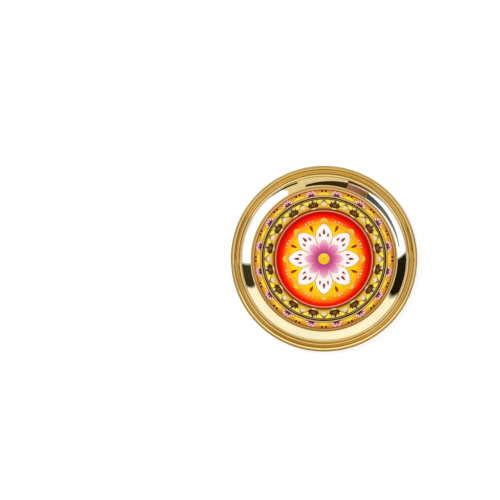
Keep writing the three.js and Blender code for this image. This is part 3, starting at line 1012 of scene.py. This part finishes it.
# Cards that the wall mirrors. Their left and right edges are bearings on it at its foot, middle and
# top. Where they lie across it is a share at the left end and one at the right end, from 0 at its
# foot to 1 at its top. The colours are those that the brass then shows at both ends, and a last
# value is the strength of the light. Earlier cards stand in front
CARDS = (
    ("brown", (-14, -13, -8), (17, 18, 18),
     (0.1, 0.02), (0.34, 0.74), (48, 30, 6), (62, 40, 18)),
    ("north_line", (18, 18, 17), (46, 46, 46),
     (0.76, 0.92), TOP, (40, 28, 6), (60, 46, 16)),
    ("rose", (17, 17, 18), (34, 34, 36),
     (-0.2, -0.2), (0.62, 0.66), (160, 106, 82), (118, 84, 50)),
    ("blush", (17, 17, 18), (34, 34, 35),
     (0.6, 0.6), (0.78, 0.84), (222, 178, 140), (222, 184, 150)),
    ("corner", (318, 318, 316), (342, 340, 342),
     (0.93, 0.72), (1.0, 0.92), (60, 44, 14), (34, 24, 4)),
    ("gold", (-29, -28, -34), (34, 34, 34),
     FULL_LOW, (1.4, 1.4), GOLD, GOLD),
    ("wedge", (34, 33, 38), (81, 81, 81),
     (0.02, 0.22), (0.62, 0.32), (52, 56, 46), (136, 140, 128)),
    ("dark", (91, 89, 86.5), (116.5, 118, 113),
     HALF_LOW, (1.1, 1.1), (30, 25, 10), (24, 20, 4)),
    ("olive", (250, 249, 251), (265, 265, 266),
     HALF_LOW, TOP, (52, 48, 22), (56, 50, 20)),
    ("east_line", (46, 46, 46), (90, 88, 86),
     (0.93, 0.94), TOP, (72, 52, 18), (96, 68, 26)),
    ("west_line", (264, 264, 264), (318, 318, 316),
     (0.93, 0.93), TOP, (96, 66, 22), (72, 50, 14)),
    ("dark_head", (89, 87, 84.5), (91, 89, 86.5),
     HALF_LOW, (1.1, 1.1), (226, 224, 204), (52, 46, 26)),
    ("dark_tail", (116.5, 118, 113), (121, 122, 118),
     HALF_LOW, (1.1, 1.1), (58, 50, 22), (238, 228, 180)),
    ("olive_head", (265, 265, 266), (267, 267, 267.5),
     HALF_LOW, TOP, (84, 78, 50), (228, 226, 212)),
    ("olive_tail", (247.5, 247, 249), (250, 249, 251),
     HALF_LOW, TOP, (236, 226, 176), (72, 66, 32)),
    ("east_white", (33, 34, 40), (92, 91, 89),
     SOME_LOW, TOP, WHITE, WHITE, 1.1),
    ("west_white", (263, 263, 263), (329, 332, 325),
     SOME_LOW, (1.0, 0.98), WHITE, WHITE, 1.1),
    ("east_dusk", (33, 33, 33), (92, 92, 92),
     FULL_LOW, SOME_LOW, DUSK, DUSK),
    ("west_dusk", (263, 263, 263), (329, 329, 329),
     FULL_LOW, SOME_LOW, DUSK, DUSK),
    ("cream", (88, 88, 88), (266, 266, 266),
     FULL_LOW, (1.6, 1.6), CREAM, CREAM),
)

# Cards overhead: bearings from and to, distances from the axis, height and light
OVERHEAD_STEP = 6
OVERHEAD = (
    ("north_glow", -84, 58, 0.62, 1.3, 2.4, (0.95, 0.8, 0.58)),
    ("south_shade", 58, 276, 0.5, 1.0, 2.4, (0.7, 0.48, 0.23)),
    ("ceiling", 0, 360, 0.0, 1.5, 2.5, (0.62, 0.46, 0.24)),
)

# The floor, in millimetres. Seen directly it is grey paper that also glows, and the plate gets its
# light from pale paper
GROUND_REACH = 12000
GROUND_HEIGHT = -0.05
SEEN_PAPER = 0.35
SEEN_GLOW = 0.72
PALE_PAPER = 0.8

# The world is white where it is seen directly, and lights the plate with this strength
WORLD_LIGHT = 0.78


def mirrored(bearing, share, distance):
    """The place, at a distance from the axis, that the camera sees in the wall."""
    slope = radians(WALL_FOOT_SLOPE + (WALL_TOP_SLOPE - WALL_FOOT_SLOPE) * share)
    x, y = polar(1, bearing)
    radius = (WALL_FOOT[0] + (WALL_TOP[0] - WALL_FOOT[0]) * share) * MM
    height = (WALL_FOOT[1] + (WALL_TOP[1] - WALL_FOOT[1]) * share) * MM
    point = Vector((x * radius, y * radius, height))
    normal = Vector((-x * sin(slope), -y * sin(slope), cos(slope)))
    view = (CAMERA_PLACE - point).normalized()
    way = 2 * view.dot(normal) * normal - view
    flat_way, flat_point = way.to_2d(), point.to_2d()
    toward = flat_way.dot(flat_point)
    reach = flat_way.length_squared
    room = reach * (flat_point.length_squared - distance**2)
    steps = (sqrt(toward**2 - room) - toward) / reach
    return point + way * steps


def stage_card(name, points, faces, lights, strength=1.0, shares=None):
    """A card of light that only reflections see. Its light may run from one colour to another."""
    name += "_card"
    mesh = bpy.data.meshes.new(name)
    mesh.from_pydata(points, [], faces)
    values = shares or [0.0] * len(points)
    mesh.attributes.new("along", "FLOAT", "POINT").data.foreach_set("value", values)
    material, nodes = new_material(name)
    light = nodes.mix(nodes.stored("along"), (*lights[0], 1), (*lights[-1], 1))
    nodes.finish(nodes.add("Emission", {"Color": light, "Strength": strength}).outputs[0])
    mesh.materials.append(material)
    screen = add_object(name, mesh)
    screen.visible_camera = False
    screen.visible_diffuse = False
    screen.visible_transmission = False
    screen.visible_shadow = False


def bent_edge(edge, share):
    """The bearing of an edge at a share of the wall, on the curve through its three bearings."""
    foot, middle, top = edge
    share = min(max(share, 0), 1)
    ends = foot * (1 - share) * (1 - 2 * share) + top * share * (2 * share - 1)
    return ends + 4 * middle * share * (1 - share)


def wall_card(order, name, left, right, low, high, seen_first, seen_last, strength=1.0):
    """A card that shows in the wall."""
    distance = CARD_DISTANCE + CARD_GAP * order
    columns = ceil((right[1] - left[1]) / CARD_STEP)
    points, shares = [], []
    for column in range(columns + 1):
        along = column / columns
        bottom = low[0] + (low[1] - low[0]) * along
        top = high[0] + (high[1] - high[0]) * along
        for row in range(CARD_ROWS + 1):
            share = bottom + (top - bottom) * row / CARD_ROWS
            start, end = bent_edge(left, share), bent_edge(right, share)
            points.append(mirrored(start + (end - start) * along, share, distance))
            shares.append(along)
    lights = [
        [shown / tint for shown, tint in zip(linear(*seen)[:3], BRASS_TINT)]
        for seen in (seen_first, seen_last)
    ]
    stage_card(name, points, grid_faces(columns, CARD_ROWS), lights, strength, shares)


def overhead_card(name, start, end, inner, outer, height, light):
    columns = ceil((end - start) / OVERHEAD_STEP)
    points = []
    for column in range(columns + 1):
        bearing = start + (end - start) * column / columns
        for reach in (inner, outer):
            points.append((*polar(reach, bearing), height))
    stage_card(name, points, grid_faces(columns, 1), [light])


def grid_faces(columns, rows):
    """Faces between the points of a grid, which run up each column in turn."""
    faces = []
    for column in range(columns):
        for row in range(rows):
            first = column * (rows + 1) + row
            faces.append((first, first + 1, first + rows + 2, first + rows + 1))
    return faces


def seen_directly(nodes):
    """1 for camera, glossy and transmission rays, else 0."""
    path = nodes.add("LightPath")
    rays = ("Is Camera Ray", "Is Glossy Ray", "Is Transmission Ray")
    total = nodes.math("ADD", path.outputs[rays[0]], path.outputs[rays[1]])
    return nodes.math("ADD", total, path.outputs[rays[2]], clamp=True)


def grey(level):
    return (level, level, level, 1)


def build_floor():
    """A white floor that still takes the plate's shadow."""
    form = Form()
    form.turn([(0, GROUND_HEIGHT), (GROUND_REACH, GROUND_HEIGHT)], steps=64)
    floor = add_object("floor", bpy.data.meshes.new("floor"))
    floor.data.from_pydata(form.points, [], form.faces)
    material, nodes = new_material("white_floor")
    paper = nodes.add("BsdfDiffuse", {"Color": grey(SEEN_PAPER)}).outputs[0]
    glow = nodes.add("Emission", {"Color": grey(1), "Strength": SEEN_GLOW}).outputs[0]
    shown = nodes.add("AddShader", {0: paper, 1: glow}).outputs[0]
    plain = nodes.add("BsdfDiffuse", {"Color": grey(PALE_PAPER)}).outputs[0]
    nodes.finish(nodes.add("MixShader", {0: seen_directly(nodes), 1: plain, 2: shown}).outputs[0])
    floor.data.materials.append(material)


def build_world():
    world = bpy.data.worlds.new("studio")
    bpy.context.scene.world = world
    nodes = Nodes(world)
    strength = nodes.between(seen_directly(nodes), 0, 1, WORLD_LIGHT, 1.0)
    light = nodes.add("Background", {"Color": grey(1), "Strength": strength})
    nodes.finish(light.outputs[0], "OutputWorld")


def build_lamp(name, bearing, elevation, distance, size, power):
    lamp = bpy.data.lights.new(name, "AREA")
    lamp.shape = "DISK"
    lamp.size = size
    lamp.energy = power
    holder = add_object(name, lamp)
    x, y = polar(distance * cos(radians(elevation)), bearing)
    holder.location = (x, y, distance * sin(radians(elevation)))
    holder.rotation_euler = (-holder.location).to_track_quat("-Z", "Y").to_euler()
    holder.visible_glossy = False


def build_camera():
    """Looks down at the plate with the rim's circle where the photograph has it."""
    data = bpy.data.cameras.new("camera")
    data.lens = LENS
    data.sensor_width = SENSOR
    camera = add_object("camera", data)
    across, down = (pixel - PHOTO_SIZE / 2 for pixel in PHOTO_RIM_CENTRE)
    aim = Vector((across, -down, -FOCAL_PIXELS)).normalized()
    turn = aim.rotation_difference(Vector((0, 0, -1)))
    camera.location = CAMERA_PLACE
    camera.rotation_mode = "QUATERNION"
    camera.rotation_quaternion = (-CAMERA_BACK).to_track_quat("-Z", "Y") @ turn
    bpy.context.scene.camera = camera


def build_studio():
    build_floor()
    build_world()
    for order, settings in enumerate(CARDS):
        wall_card(order, *settings)
    for settings in OVERHEAD:
        overhead_card(*settings)
    build_lamp("key_lamp", bearing=300, elevation=52, distance=2.2, size=0.9, power=14)
    build_camera()


build_dish()
build_disc()
build_grounds()
build_lines()
build_outer_leaves()
build_pink_lotuses()
build_inner_leaves()
build_buds()
build_brown_lotuses()
build_rosette()
build_studio()

bpy.context.scene.view_settings.view_transform = "Standard"
